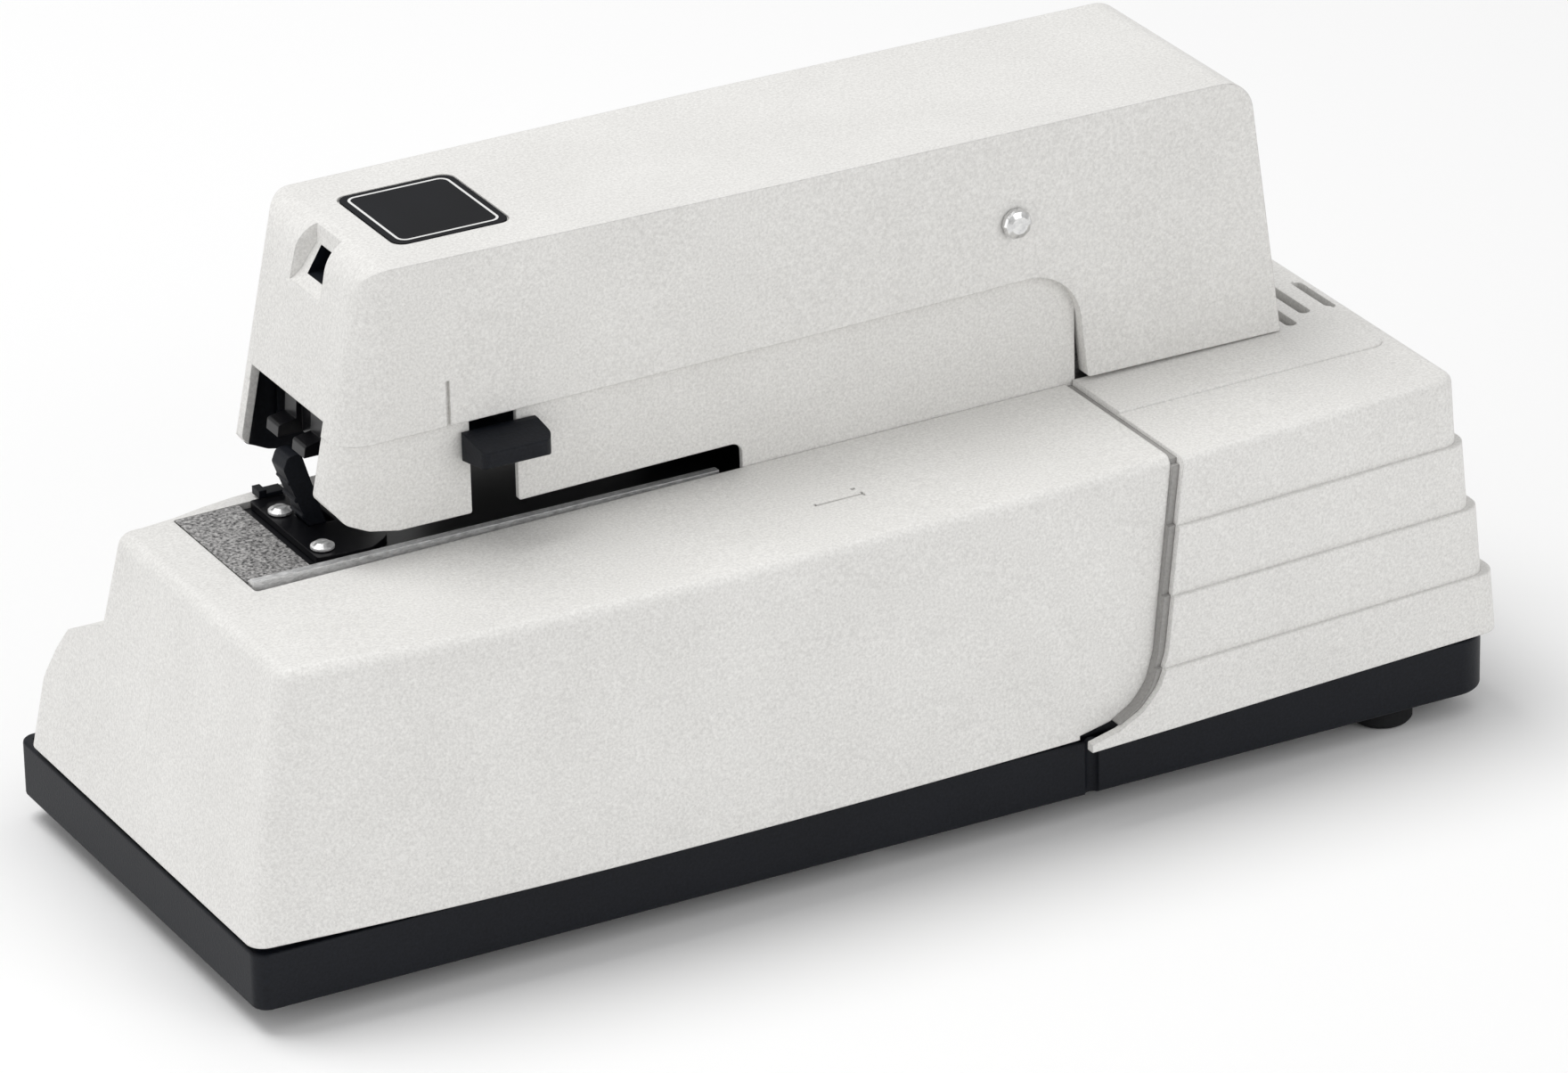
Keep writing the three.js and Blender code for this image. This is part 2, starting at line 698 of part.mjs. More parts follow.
// ---------------------------------------------------------------- inner frame
function framePlate([y0, y1]) {
  const { x, z } = PIVOT;
  const outline = [
    [28.5, 2.8],
    [304, 2.8],
    [304, 66, 4],
    [266, 66, 4],
    [x + 11, z + 10, 9],
    [x - 11, z + 10, 9],
    [205, 80.2],
    [28.5, 80.2],
  ];
  const side = plate('y', outline, y0, y1);
  return cut(
    side,
    plate('y', rectangle([70, 185], [14, 66], 6), y0 - 1, y1 + 1),
    rod('y', [x, z], PIVOT.r + FIT, y0 - 1, y1 + 1),
    rod('y', [FINGER.pivotX, FINGER.pivotZ], FINGER.pin + FIT, y0 - 1, y1 + 1, 20),
    rod('y', [REDUCTION.x, REDUCTION.z], 2.5 + FIT, y0 - 1, y1 + 1, 20),
  );
}

function motorCentre() {
  const distance = (REDUCTION.largeModule * (REDUCTION.large + MOTOR.teeth)) / 2;
  const angle = THREE.MathUtils.degToRad(MOTOR.angle);
  return [REDUCTION.x - distance * Math.cos(angle), REDUCTION.z + distance * Math.sin(angle)];
}

function baseFrame() {
  const between = [FRAME_NEAR[1] - 0.1, FRAME_FAR[0] + 0.1];
  const near = cut(framePlate(FRAME_NEAR), rod('y', motorCentre(), 6.5, -20, 0));
  const far = cut(framePlate(FRAME_FAR), rod('y', [CRANK.x, CRANK.z], 5 + FIT, 20, 40, 28));
  const frame = join(
    near,
    far,
    box([28.5, 304], between, [2.8, 4.8]),
    box([33, 35], between, [4.6, 79]),
    box([222, 248], between, [96, 98.5]),
  );
  add('base_frame', frame, 'steel');
}

// ---------------------------------------------------------------- arm lever and driver
function leverPlate([y0, y1]) {
  const outline = [
    [74, 126, 4],
    [188, 124],
    [191, 104.5, 4],
    [201, 104.5, 4],
    [204, 124],
    [222, 122, 6],
    [248, 122, 6],
    [281, 131, 6],
    [297, 131, 6],
    [297, 149],
    [74, 149],
  ];
  return cut(
    plate('y', outline, y0, y1),
    rod('y', [PIVOT.x, PIVOT.z], PIVOT.r + FIT, y0 - 1, y1 + 1),
    rod('y', [MAGAZINE.pinX, MAGAZINE.pinZ], 3 + FIT, y0 - 1, y1 + 1),
    rod('y', [TAIL_PIN.x, TAIL_PIN.z], TAIL_PIN.r + FIT, y0 - 1, y1 + 1),
  );
}

function armLever() {
  const web = cut(
    box([74, 297], [LEVER_NEAR[0], LEVER_FAR[1]], [148, 150]),
    plate('z', [[264, 2, 3], [297.5, 2], [297.5, 21], [264, 21, 3]], 140, 160),
  );
  const seat = box([174, 186], [LEVER_NEAR[1] - 0.5, -2.5], [124.2, 126.2]);
  add('arm_lever', join(leverPlate(LEVER_NEAR), leverPlate(LEVER_FAR), web, seat), 'steel');
}

function driver() {
  add('driver_blade', box([62, 63], across(6.3), [110, 141.5]), 'steel');
  const head = box([63.3, 76], across(9), [128, 142]);
  const tongue = box([72.6, 104], across(9), [141, 147.7]);
  add('driver_holder', cut(join(head, tongue), rod('x', [MID, 136], 2.2, 60, 70, 16)), 'dark');
}

// ---------------------------------------------------------------- magazine
function magazine() {
  const { x0, x1, half, floor, top, sheet, pinX, pinZ } = MAGAZINE;
  const outer = box([x0, x1], across(half), [floor, top]);
  const inner = box([x0 - 1, x1 - sheet], across(half - sheet), [floor + sheet, top + 1]);
  const hole = rod('y', [pinX, pinZ], 3 + FIT, -20, 40);
  add('magazine_channel', cut(outer, inner, hole), 'steel');
  add('magazine_pin', rod('y', [pinX, pinZ], 3, -13.4, 32.8), 'steel');
}

// Black guide at the front of the magazine, with room for the driver blade and the finger.
function magazineNose() {
  const profile = [
    [50.2, 105.5],
    [66, 105.5],
    [66, 120],
    [56, 120, 1],
    [55.3, 109.2],
    [50.6, 108.4, 0.8],
  ];
  const nose = cut(
    plate('y', profile, ...across(10.5)),
    box([61.3, 63.7], across(6.9), [100, 125]),
    box([63, 67], across(6.9), [106.7, 125]),
    box([49, 57], grown([FINGER.y0, FINGER.y1], 0.6), [100, 117.5]),
  );
  add('magazine_nose', nose, 'black');
}

function staples() {
  const { half, low, high, wire } = STAPLE;
  const strip = box([64, 140], across(half), [low, high]);
  add('staple_strip', cut(strip, box([64, 140], across(half - wire), [100, high - wire])), 'steel');
}

function pusher() {
  const bar = [MID, PUSHER_ROD.z];
  const block = join(
    box([141, 155], across(5.5), [107, 113]),
    box([143, 153], across(3.5), [112.9, 118]),
  );
  add('pusher', cut(block, rod('x', bar, PUSHER_ROD.r + FIT, 130, 160, 16)), 'black');
  add('pusher_rod', rod('x', bar, PUSHER_ROD.r, 66.7, 200.4, 16), 'steel');
}

// Coil spring as a round wire swept along a helix; `place` turns a height and angle into a point.
function coil(turns, wire, place) {
  const steps = 9 * turns;
  const points = range(0, 1, steps).map((t) => place(t, t * turns * 2 * Math.PI));
  const sides = range(0, 2 * Math.PI, 5).slice(1);
  const section = sides.map((a) => new THREE.Vector2(wire * Math.cos(a), wire * Math.sin(a)));
  const geometry = new THREE.ExtrudeGeometry(new THREE.Shape(section), {
    steps,
    bevelEnabled: false,
    extrudePath: new THREE.CatmullRomCurve3(points),
  });
  return solid(geometry);
}

function springs() {
  const feed = coil(12, 0.4, (t, a) => new THREE.Vector3(
    156 + 43.5 * t,
    MID + 2.5 * Math.cos(a),
    PUSHER_ROD.z + 2.5 * Math.sin(a),
  ));
  add('pusher_spring', feed, 'steel');
  const lift = coil(8, 0.6, (t, a) => new THREE.Vector3(
    180 + 3 * Math.cos(a),
    -6.6 + 3 * Math.sin(a),
    83 + 40.3 * t,
  ));
  add('arm_spring', lift, 'steel');
}

// ---------------------------------------------------------------- magazine release
function releaseKnob() {
  const wedge = [
    [-28.6, 105.7, 1],
    [-17.9, 104.8],
    [-17.9, 112.3, 0.8],
    [-20, 112.1, 1.5],
    [-28.6, 109.7, 1],
  ];
  const plan = [[84.4, -28.8, 2.5], [103.8, -28.8, 3.5], [102.8, -17.9, 1], [82.8, -17.9, 1]];
  const knob = plate('x', wedge, 79, 106).intersect(plate('z', plan, 100, 120));
  const stem = box([87.4, 96.5], [-18.2, -1.4], [103.6, 109.6]);
  const tab = box([87.4, 112], [-3.4, -1.4], [99, 114]);
  add('release_knob', join(knob, stem, tab), 'black');
}

// ---------------------------------------------------------------- motor and gears
function gearOutline(teeth, module, turn) {
  const pitch = (teeth * module) / 2;
  const outline = [];
  for (let i = 0; i < teeth; i += 1) {
    const middle = ((i + turn) / teeth) * 2 * Math.PI;
    const root = (0.58 * Math.PI * module) / 2 / pitch;
    const tip = (0.24 * Math.PI * module) / 2 / pitch;
    for (const [radius, offset] of [
      [pitch - 1.2 * module, -root],
      [pitch + 0.85 * module, -tip],
      [pitch + 0.85 * module, tip],
      [pitch - 1.2 * module, root],
    ]) {
      outline.push([radius * Math.cos(middle + offset), radius * Math.sin(middle + offset)]);
    }
  }
  return outline;
}

function gear([x, z], teeth, module, turn, from, to) {
  const outline = gearOutline(teeth, module, turn).map(([a, b]) => [x + a, z + b]);
  return solid(prism('y', outline, from, to));
}

function drive() {
  const motor = motorCentre();
  const [mx, mz] = motor;
  const can = join(
    rod('y', motor, MOTOR.radius, -60, -14, 32),
    rod('y', motor, 6, -14.2, -9.6, 20),
    rod('y', motor, 7, -63, -59.8, 20),
  );
  const vents = [0, 1, 2, 3].map((i) => {
    const angle = (i * Math.PI) / 2 + Math.PI / 4;
    return box(
      [mx + 14 * Math.cos(angle) - 2, mx + 14 * Math.cos(angle) + 2],
      [-62, -57],
      [mz + 14 * Math.sin(angle) - 2, mz + 14 * Math.sin(angle) + 2],
    );
  });
  add('motor', cut(can, ...vents, rod('y', motor, 1.5 + FIT, -20, 0, 16)), 'steel');

  const phase = MOTOR.angle / 360;
  const pinion = join(
    gear(motor, MOTOR.teeth, REDUCTION.largeModule, 0.5 - phase * MOTOR.teeth, -5, 1),
    rod('y', motor, 1.5, -18, -4.8, 16),
  );
  add('motor_pinion', pinion, 'brass');

  const centre = [REDUCTION.x, REDUCTION.z];
  const wheel = join(
    gear(centre, REDUCTION.large, REDUCTION.largeModule, (0.5 - phase) * REDUCTION.large, -5, 1),
    gear(centre, REDUCTION.small, CRANK.module, 0.5, 14.5, 22),
    rod('y', centre, 5, 0.8, 14.7, 20),
  );
  add('reduction_gear', cut(wheel, rod('y', centre, 2.5 + FIT, -20, 40, 20)), 'dark');
  add('reduction_shaft', rod('y', centre, 2.5, -10, 29.2, 20), 'steel');

  const crank = [CRANK.x, CRANK.z];
  const pin = [CRANK.x - CRANK.throw, CRANK.z];
  const disc = join(
    gear(crank, CRANK.teeth, CRANK.module, 0, 15.5, 21.5),
    rod('y', crank, 9, 21.3, 25.6, 28),
  );
  const holes = [0, 1, 2, 3].map((i) => {
    const angle = ((i + 0.5) * Math.PI) / 2;
    return rod('y', [CRANK.x + 19 * Math.cos(angle), CRANK.z + 19 * Math.sin(angle)], 5, 10, 30, 20);
  });
  add('crank_gear', cut(disc, rod('y', crank, 5 + FIT, 18.5, 30, 28), ...holes), 'dark');
  add('crank_shaft', rod('y', crank, 5, 18.8, 30, 28), 'steel');
  add('crank_pin', rod('y', pin, CRANK.pin, 7.6, 15.2), 'steel');
}

function driveLink() {
  const { x, z, r } = TAIL_PIN;
  const outline = [
    [263, 26, 7],
    [288, 26, 7],
    [288, 52, 8],
    [293.5, 128],
    [297, 140, 7],
    [293, 148.2, 6],
    [283, 148.2, 6],
    [279, 140, 6],
    [277, 62, 8],
    [263, 50, 7],
  ];
  const link = cut(
    plate('y', outline, 9.7, 13.2),
    plate('y', rectangle([268.3, 282.2], [29.6, 46.7], 3), 5, 20),
    rod('y', [x, z], r + FIT, 5, 20),
  );
  add('drive_link', link, 'steel');
  add('link_pin', rod('y', [x, z], r, -13.4, 32.8), 'steel');
}

// ---------------------------------------------------------------- electrical pieces
function electrics() {
  add('circuit_board', box([50, 150], [-59, -19], [14, 15.6]), 'board');
  const can = [76, -40];
  add('capacitor', join(rod('z', can, 11, 15.9, 44, 24), rod('z', can, 11, 43.8, 45, 24, 10)), 'black');
  const core = join(box([104, 140], [-54, -26], [18, 40]), box([110, 134], [-58, -22], [15.9, 42]));
  add('transformer', core, 'dark');
  const { back, deep, flange, low, high } = INLET;
  const shell = (y0, y1) => join(
    box([back - deep, back], [y0, y1], [low, high]),
    box([back - 0.8, flange], [y0 - 2.4, y1 + 2.4], [low - 1.2, high + 1.2]),
  );
  const socket = plate('x', rectangle([-17, -3], [37.5, 46.5], 4), 338.1, 355);
  const pins = [-13.5, -6.5].map((y) => rod('x', [y, 42], 1.2, 337.9, 345.1, 12));
  add('power_inlet', join(cut(shell(-21.6, 1.6), socket), ...pins), 'black');
  add('switch_frame', cut(shell(11.4, 31.6), box([338.1, 355], [13, 30], [36, 48])), 'black');
  const rocker = [[339.7, 47.4], [339.7, 36.6], [347.3, 36.6, 0.6], [345.9, 42], [347.3, 47.4, 0.6]];
  add('power_rocker', plate('y', rocker, 13.4, 29.6), 'black');
}

basePan();
feet();
baseScrews();
frontCover();
rearCover();
coverSeals();
armHousing();
noseGuard();
namePlate();
pivotPin();
tablePlate();
guideRail();
bedPlate();
anvilPlate();
paperStop();
trigger();
baseFrame();
armLever();
driver();
magazine();
magazineNose();
staples();
pusher();
springs();
releaseKnob();
drive();
driveLink();
electrics();

const bounds = new THREE.Box3().setFromObject(group);
const origin = bounds.getCenter(new THREE.Vector3()).setZ(bounds.min.z);
for (const piece of group.children) piece.geometry.translate(-origin.x, -origin.y, -origin.z);

export default group;
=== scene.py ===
"""Electric desk stapler: detailed covers, arm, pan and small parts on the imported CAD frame.

Lengths in the piece functions are millimetres measured from the front edge of the base pan,
its middle line and its floor; `place` turns them into metres in the model's own frame.
"""
import json
import math

import bmesh
import bpy
from mathutils import Matrix, Vector


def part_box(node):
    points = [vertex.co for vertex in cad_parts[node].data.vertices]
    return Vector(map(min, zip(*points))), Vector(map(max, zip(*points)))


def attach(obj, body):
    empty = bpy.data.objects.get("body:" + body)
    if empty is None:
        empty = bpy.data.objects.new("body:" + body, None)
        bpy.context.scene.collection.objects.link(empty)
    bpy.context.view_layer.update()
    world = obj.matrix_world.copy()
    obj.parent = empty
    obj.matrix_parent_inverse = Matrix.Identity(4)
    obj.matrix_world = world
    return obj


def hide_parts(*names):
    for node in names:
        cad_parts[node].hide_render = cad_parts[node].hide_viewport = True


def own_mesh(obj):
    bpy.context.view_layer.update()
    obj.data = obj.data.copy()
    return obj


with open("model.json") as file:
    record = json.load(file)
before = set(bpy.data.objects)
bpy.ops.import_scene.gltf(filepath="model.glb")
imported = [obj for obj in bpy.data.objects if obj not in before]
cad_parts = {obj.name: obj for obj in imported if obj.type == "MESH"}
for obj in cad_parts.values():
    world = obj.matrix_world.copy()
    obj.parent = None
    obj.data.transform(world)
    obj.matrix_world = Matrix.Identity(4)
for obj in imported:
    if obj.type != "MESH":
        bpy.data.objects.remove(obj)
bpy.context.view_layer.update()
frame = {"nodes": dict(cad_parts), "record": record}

MM = 0.001
PAN_LOW, PAN_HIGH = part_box("base_pan")
SHIFT = Vector((PAN_LOW.x, (PAN_LOW.y + PAN_HIGH.y) / 2, PAN_LOW.z))

# ------------------------------------------------------------------ driving dimensions
WALL = 2.4
PAN = {"length": 346, "half": 69, "height": 15, "wall": 2.5, "lip": 20, "front": 4, "rear": 10}
COVER = {
    "bottom": 17.5,
    "top": 83.2,
    "slope": 0.0127,
    "slope_start": 17,
    "edge": 3.0,
    "front": -1,
    "lean": 14.3,
}
BLOCK_FAR = 36.4
SHELF_LEAN = 0.49
CHANNEL = (27.5, 250, -17.9, 29.1)
REAR_OPENING = (249, 296, -17.9, 34)
REAR_BOTTOM = 16
PARTING = 2.0
TIERS = (
    {"low": 69, "high": 83.4, "back": 337, "out": 0.0},
    {"low": 51, "high": 69, "back": 340.3, "out": 1.1},
    {"low": 32.5, "high": 51, "back": 344.1, "out": 2.2},
    {"low": REAR_BOTTOM, "high": 32.5, "back": 348.1, "out": 3.3},
)
TIER_CORNER = {"near": 6, "far": 9}
TIER_EDGE = 0.45
TIER_OVERLAP = 3
VENTS = ((331.2, -13.7, 4.7), (323.4, -14.1, 20), (316.5, -18.9, 30))
VENT_HALF = 1.6
MID = 11.2
ARM = {"nose": 29.8, "rear": 31.8, "taper": 175, "top": 158.4, "cavity": 27.3, "skirt": 28.8}
PIVOT = (235, 134.4)
PIVOT_HOLE = 3.06
FACE = (48, 99.6)
FACE_LEAN = 0.208
ARM_WALL = 2.45
# sizes of the grey strips in the groove between the covers, whose colour is painted shade
GROOVE_SHADE_FILL = {"depth": 0.6, "rear_depth": 1.8, "gap": 0.03, "low": 20.5}
ARM_SPRING = {"x": 180, "y": -6.6, "low": 83, "high": 123.3, "crush": 3.7}
PUSHER_SPRING = {"z": 115.5, "front": 156, "rear": 199.5, "crush": 35.2}
STAPLE_MARK = {"x0": 163.9, "x1": 176.9, "y": -47, "width": 0.6, "depth": 0.35, "end_depth": 1.6}
LABEL = {"x": (73.8, 104.5), "y": (-6.4, 27.7), "low": 157.9, "high": 158.45, "corner": 3.4, "gap": 0.4}
LABEL_LINE = {"outer": 1.7, "inner": 2.35, "low": 158.4, "high": 158.495}
EVERYWHERE = (-100, 420)

# ------------------------------------------------------------------ studio
WORLD_LIGHT = 0.61
LIGHTS = (
    {"name": "key", "position": (-0.55, 0.5, 1.9), "target": (0, 0, 0.08), "size": 1.2, "power": 19},
    {"name": "fill", "position": (0.9, -2.2, 1.0), "target": (0, 0, 0.06), "size": 1.6, "power": 12},
    {"name": "front", "position": (-2.4, -0.6, 0.6), "target": (-0.1, 0, 0.08), "size": 1.2, "power": 5},
)
CAMERA_TARGET = (133.6, -87.1, 100)
CAMERA_DISTANCE = 2107
CAMERA_RIGHT = Vector((0.8785, -0.4773, -0.0193)).normalized()
CAMERA_FORWARD = Vector((0.4258, 0.8007, -0.4213)).normalized()
CAMERA_LENS = 204.5


def place(x, y, z):
    """Millimetres from the pan's front edge to metres in the model's frame."""
    return Vector((x, y, z)) * MM + SHIFT


# ------------------------------------------------------------------ mesh helpers
def clamp01(value):
    return max(0.0, min(1.0, value))


def spread(start, stop, count):
    return [start + (stop - start) * i / count for i in range(count + 1)]


def mesh_object(name, bm):
    bmesh.ops.recalc_face_normals(bm, faces=bm.faces)
    mesh = bpy.data.meshes.new(name)
    bm.to_mesh(mesh)
    bm.free()
    obj = bpy.data.objects.new(name, mesh)
    bpy.context.scene.collection.objects.link(obj)
    return obj


def rounded(corners, step=6):
    """Corner list (a, b, radius) to a closed outline with round corners."""
    outline = []
    for i, corner in enumerate(corners):
        here = Vector(corner[:2])
        radius = corner[2] if len(corner) > 2 else 0
        back = (Vector(corners[i - 1][:2]) - here).normalized()
        ahead = (Vector(corners[(i + 1) % len(corners)][:2]) - here).normalized()
        half = math.acos(max(-1, min(1, back.dot(ahead)))) / 2
        if radius == 0 or half > 1.55:
            outline.append(here)
            continue
        centre = here + (back + ahead).normalized() * radius / math.sin(half)
        start = here + back * radius / math.tan(half) - centre
        sweep = math.pi - 2 * half
        turn = -math.copysign(1, back.x * ahead.y - back.y * ahead.x)
        count = max(3, round(math.degrees(sweep) / step))
        for k in range(count + 1):
            angle = turn * sweep * k / count
            spoke = Matrix.Rotation(angle, 2) @ start
            outline.append(spoke + centre)
    return outline


def point_on(axis, a, b, c):
    """A point from its two outline values and its place along the axis."""
    return {"x": (c, a, b), "y": (a, c, b), "z": (a, b, c)}[axis]


def slab(name, axis, outline, low, high, rule=None):
    """Outline extruded along an axis; `rule` moves each point afterwards, in millimetres."""
    bm = bmesh.new()
    rings = []
    for level in (low, high):
        ring = []
        for a, b in outline:
            spot = point_on(axis, a, b, level)
            ring.append(bm.verts.new(place(*(rule(*spot) if rule else spot))))
        rings.append(ring)
    bottom, top = rings
    bm.faces.new(bottom[::-1])
    bm.faces.new(top)
    for i in range(len(bottom)):
        j = (i + 1) % len(bottom)
        bm.faces.new((bottom[i], bottom[j], top[j], top[i]))
    return mesh_object(name, bm)


def rectangle(xs, ys, radius):
    """Corner list of a rectangle whose four corners share one radius."""
    return [(xs[0], ys[0], radius), (xs[1], ys[0], radius), (xs[1], ys[1], radius), (xs[0], ys[1], radius)]


def grown(band, by):
    return band[0] - by, band[1] + by


def across(half):
    """Band of Y that is even about the centre plane of the arm."""
    return MID - half, MID + half


def block(name, xs, ys, zs):
    return slab(name, "z", rounded(rectangle(xs, ys, 0)), *zs)


def skinned(name, sections):
    """Closed solid through a row of sections, which all have the same number of points."""
    bm = bmesh.new()
    rings = [[bm.verts.new(place(*spot)) for spot in section] for section in sections]
    bm.faces.new(rings[0][::-1])
    bm.faces.new(rings[-1])
    for low, high in zip(rings, rings[1:]):
        for k in range(len(low)):
            j = (k + 1) % len(low)
            bm.faces.new((low[k], low[j], high[j], high[k]))
    return mesh_object(name, bm)


def directions(count):
    """Angles that share a whole turn evenly."""
    return [2 * math.pi * k / count for k in range(count)]


def on_circle(centre, radius, angle):
    return centre[0] + radius * math.cos(angle), centre[1] + radius * math.sin(angle)


def turned(name, axis, centre, profile, segments=64):
    """Solid of revolution about an axis; profile is (radius, place along the axis)."""
    sections = [
        [point_on(axis, *on_circle(centre, radius, angle), level) for angle in directions(segments)]
        for radius, level in profile
    ]
    return skinned(name, sections)


def coil(name, axis, centre, radius, wire, low, high, turns):
    """Round wire wound about an axis."""
    steps = 20 * turns

    def spot(i):
        share = i / steps
        level = low + (high - low) * share
        return Vector(point_on(axis, *on_circle(centre, radius, 2 * math.pi * turns * share), level))

    middle = Vector(point_on(axis, *centre, low))
    along = Vector(point_on(axis, 0, 0, 1))
    sections = []
    for i in range(steps + 1):
        ahead = (spot(i + 1) - spot(i - 1)).normalized()
        offset = spot(i) - middle
        outward = (offset - along * offset.dot(along)).normalized()
        side = ahead.cross(outward)
        sections.append([
            spot(i) + wire * (math.cos(angle) * outward + math.sin(angle) * side)
            for angle in directions(8)
        ])
    return skinned(name, sections)


def rod(name, axis, centre, radius, low, high, segments=48):
    return turned(name, axis, centre, [(radius, low), (radius, high)], segments)


def apply_modifiers(obj):
    graph = bpy.context.evaluated_depsgraph_get()
    mesh = bpy.data.meshes.new_from_object(obj.evaluated_get(graph))
    obj.modifiers.clear()
    obj.data = mesh
    return obj


def bevelled(obj, width, segments=4, angle=35):
    bevel = obj.modifiers.new("edges", "BEVEL")
    bevel.width = width * MM
    bevel.segments = segments
    bevel.limit_method = "ANGLE"
    bevel.angle_limit = math.radians(angle)
    return apply_modifiers(obj)


def combine(obj, operation, tools):
    for tool in tools:
        boolean = obj.modifiers.new("solid", "BOOLEAN")
        boolean.operation = operation
        boolean.solver = "MANIFOLD"
        boolean.object = tool
        apply_modifiers(obj)
        bpy.data.objects.remove(tool)
    return obj


def join(obj, *tools):
    return combine(obj, "UNION", tools)


def carve(obj, *tools):
    return combine(obj, "DIFFERENCE", tools)


def meet(obj, *tools):
    return combine(obj, "INTERSECT", tools)


def smooth(obj, angle=32):
    obj.data.shade_smooth()
    obj.data.set_sharp_from_angle(angle=math.radians(angle))
    weighted = obj.modifiers.new("even_shading", "WEIGHTED_NORMAL")
    weighted.keep_sharp = True
    return obj


def finished(obj, body, nodes, material, angle=32):
    """Give a piece its material, its body and the CAD nodes that it stands for."""
    smooth(obj, angle)
    obj.data.materials.clear()
    obj.data.materials.append(material)
    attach(obj, body)
    if nodes:
        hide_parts(*nodes)
    return obj


# ------------------------------------------------------------------ materials
def new_material(name):
    material = bpy.data.materials.new(name)
    material.use_nodes = True
    nodes = material.node_tree.nodes
    return material, nodes, material.node_tree.links, nodes["Principled BSDF"]


def object_coordinates(nodes):
    return nodes.new("ShaderNodeTexCoord").outputs["Object"]


def noise(nodes, links, vector, scale, detail=4, roughness=0.6):
    node = nodes.new("ShaderNodeTexNoise")
    node.inputs["Scale"].default_value = scale
    node.inputs["Detail"].default_value = detail
    node.inputs["Roughness"].default_value = roughness
    links.new(vector, node.inputs["Vector"])
    return node.outputs["Fac"]


def ramp(nodes, links, factor, stops):
    node = nodes.new("ShaderNodeValToRGB")
    elements = node.color_ramp.elements
    while len(elements) < len(stops):
        elements.new(0.5)
    for element, (position, color) in zip(elements, stops):
        element.position = position
        element.color = (*color, 1)
    links.new(factor, node.inputs["Fac"])
    return node.outputs["Color"]


def bump(nodes, links, height, distance, strength=1.0, normal=None):
    node = nodes.new("ShaderNodeBump")
    node.inputs["Distance"].default_value = distance
    node.inputs["Strength"].default_value = strength
    links.new(height, node.inputs["Height"])
    if normal:
        links.new(normal, node.inputs["Normal"])
    return node.outputs["Normal"]


def soft_edges(nodes, radius):
    node = nodes.new("ShaderNodeBevel")
    node.samples = 4
    node.inputs["Radius"].default_value = radius * MM
    return node.outputs["Normal"]


def moulded_plastic(name, low, high, roughness, grain=0.55, depth=0.05, edge=0.5, speckle=0.5, shine=0.5):
    """Spark-textured plastic: colour speckle at the grain's scale, fine bump, uneven sheen."""
    material, nodes, links, shader = new_material(name)
    shader.inputs["Specular IOR Level"].default_value = shine
    where = object_coordinates(nodes)
    fine = noise(nodes, links, where, 1000 / grain, 3, 0.7)
    broad = noise(nodes, links, where, 30, 2)
    mix = nodes.new("ShaderNodeMix")
    mix.inputs["Factor"].default_value = speckle
    links.new(broad, mix.inputs["A"])
    links.new(fine, mix.inputs["B"])
    colour = ramp(nodes, links, mix.outputs["Result"], [(0.3, low), (0.7, high)])
    links.new(colour, shader.inputs["Base Color"])
    spread_of = nodes.new("ShaderNodeMapRange")
    spread_of.inputs["To Min"].default_value = roughness - 0.07
    spread_of.inputs["To Max"].default_value = roughness + 0.07
    links.new(fine, spread_of.inputs["Value"])
    links.new(spread_of.outputs["Result"], shader.inputs["Roughness"])
    rounded_normal = soft_edges(nodes, edge)
    links.new(bump(nodes, links, fine, depth * MM, 0.8, rounded_normal), shader.inputs["Normal"])
    return material


def metal(name, low, high, roughness, scale=900, stretch=(1, 1, 1), depth=0.01, metallic=1.0):
    material, nodes, links, shader = new_material(name)
    mapping = nodes.new("ShaderNodeMapping")
    mapping.inputs["Scale"].default_value = stretch
    links.new(object_coordinates(nodes), mapping.inputs["Vector"])
    grain = noise(nodes, links, mapping.outputs["Vector"], scale, 5, 0.65)
    links.new(ramp(nodes, links, grain, [(0.35, low), (0.65, high)]), shader.inputs["Base Color"])
    shader.inputs["Metallic"].default_value = metallic
    spread_of = nodes.new("ShaderNodeMapRange")
    spread_of.inputs["To Min"].default_value = roughness - 0.08
    spread_of.inputs["To Max"].default_value = roughness + 0.1
    links.new(grain, spread_of.inputs["Value"])
    links.new(spread_of.outputs["Result"], shader.inputs["Roughness"])
    normal = bump(nodes, links, grain, depth * MM, 0.6, soft_edges(nodes, 0.2))
    links.new(normal, shader.inputs["Normal"])
    return material


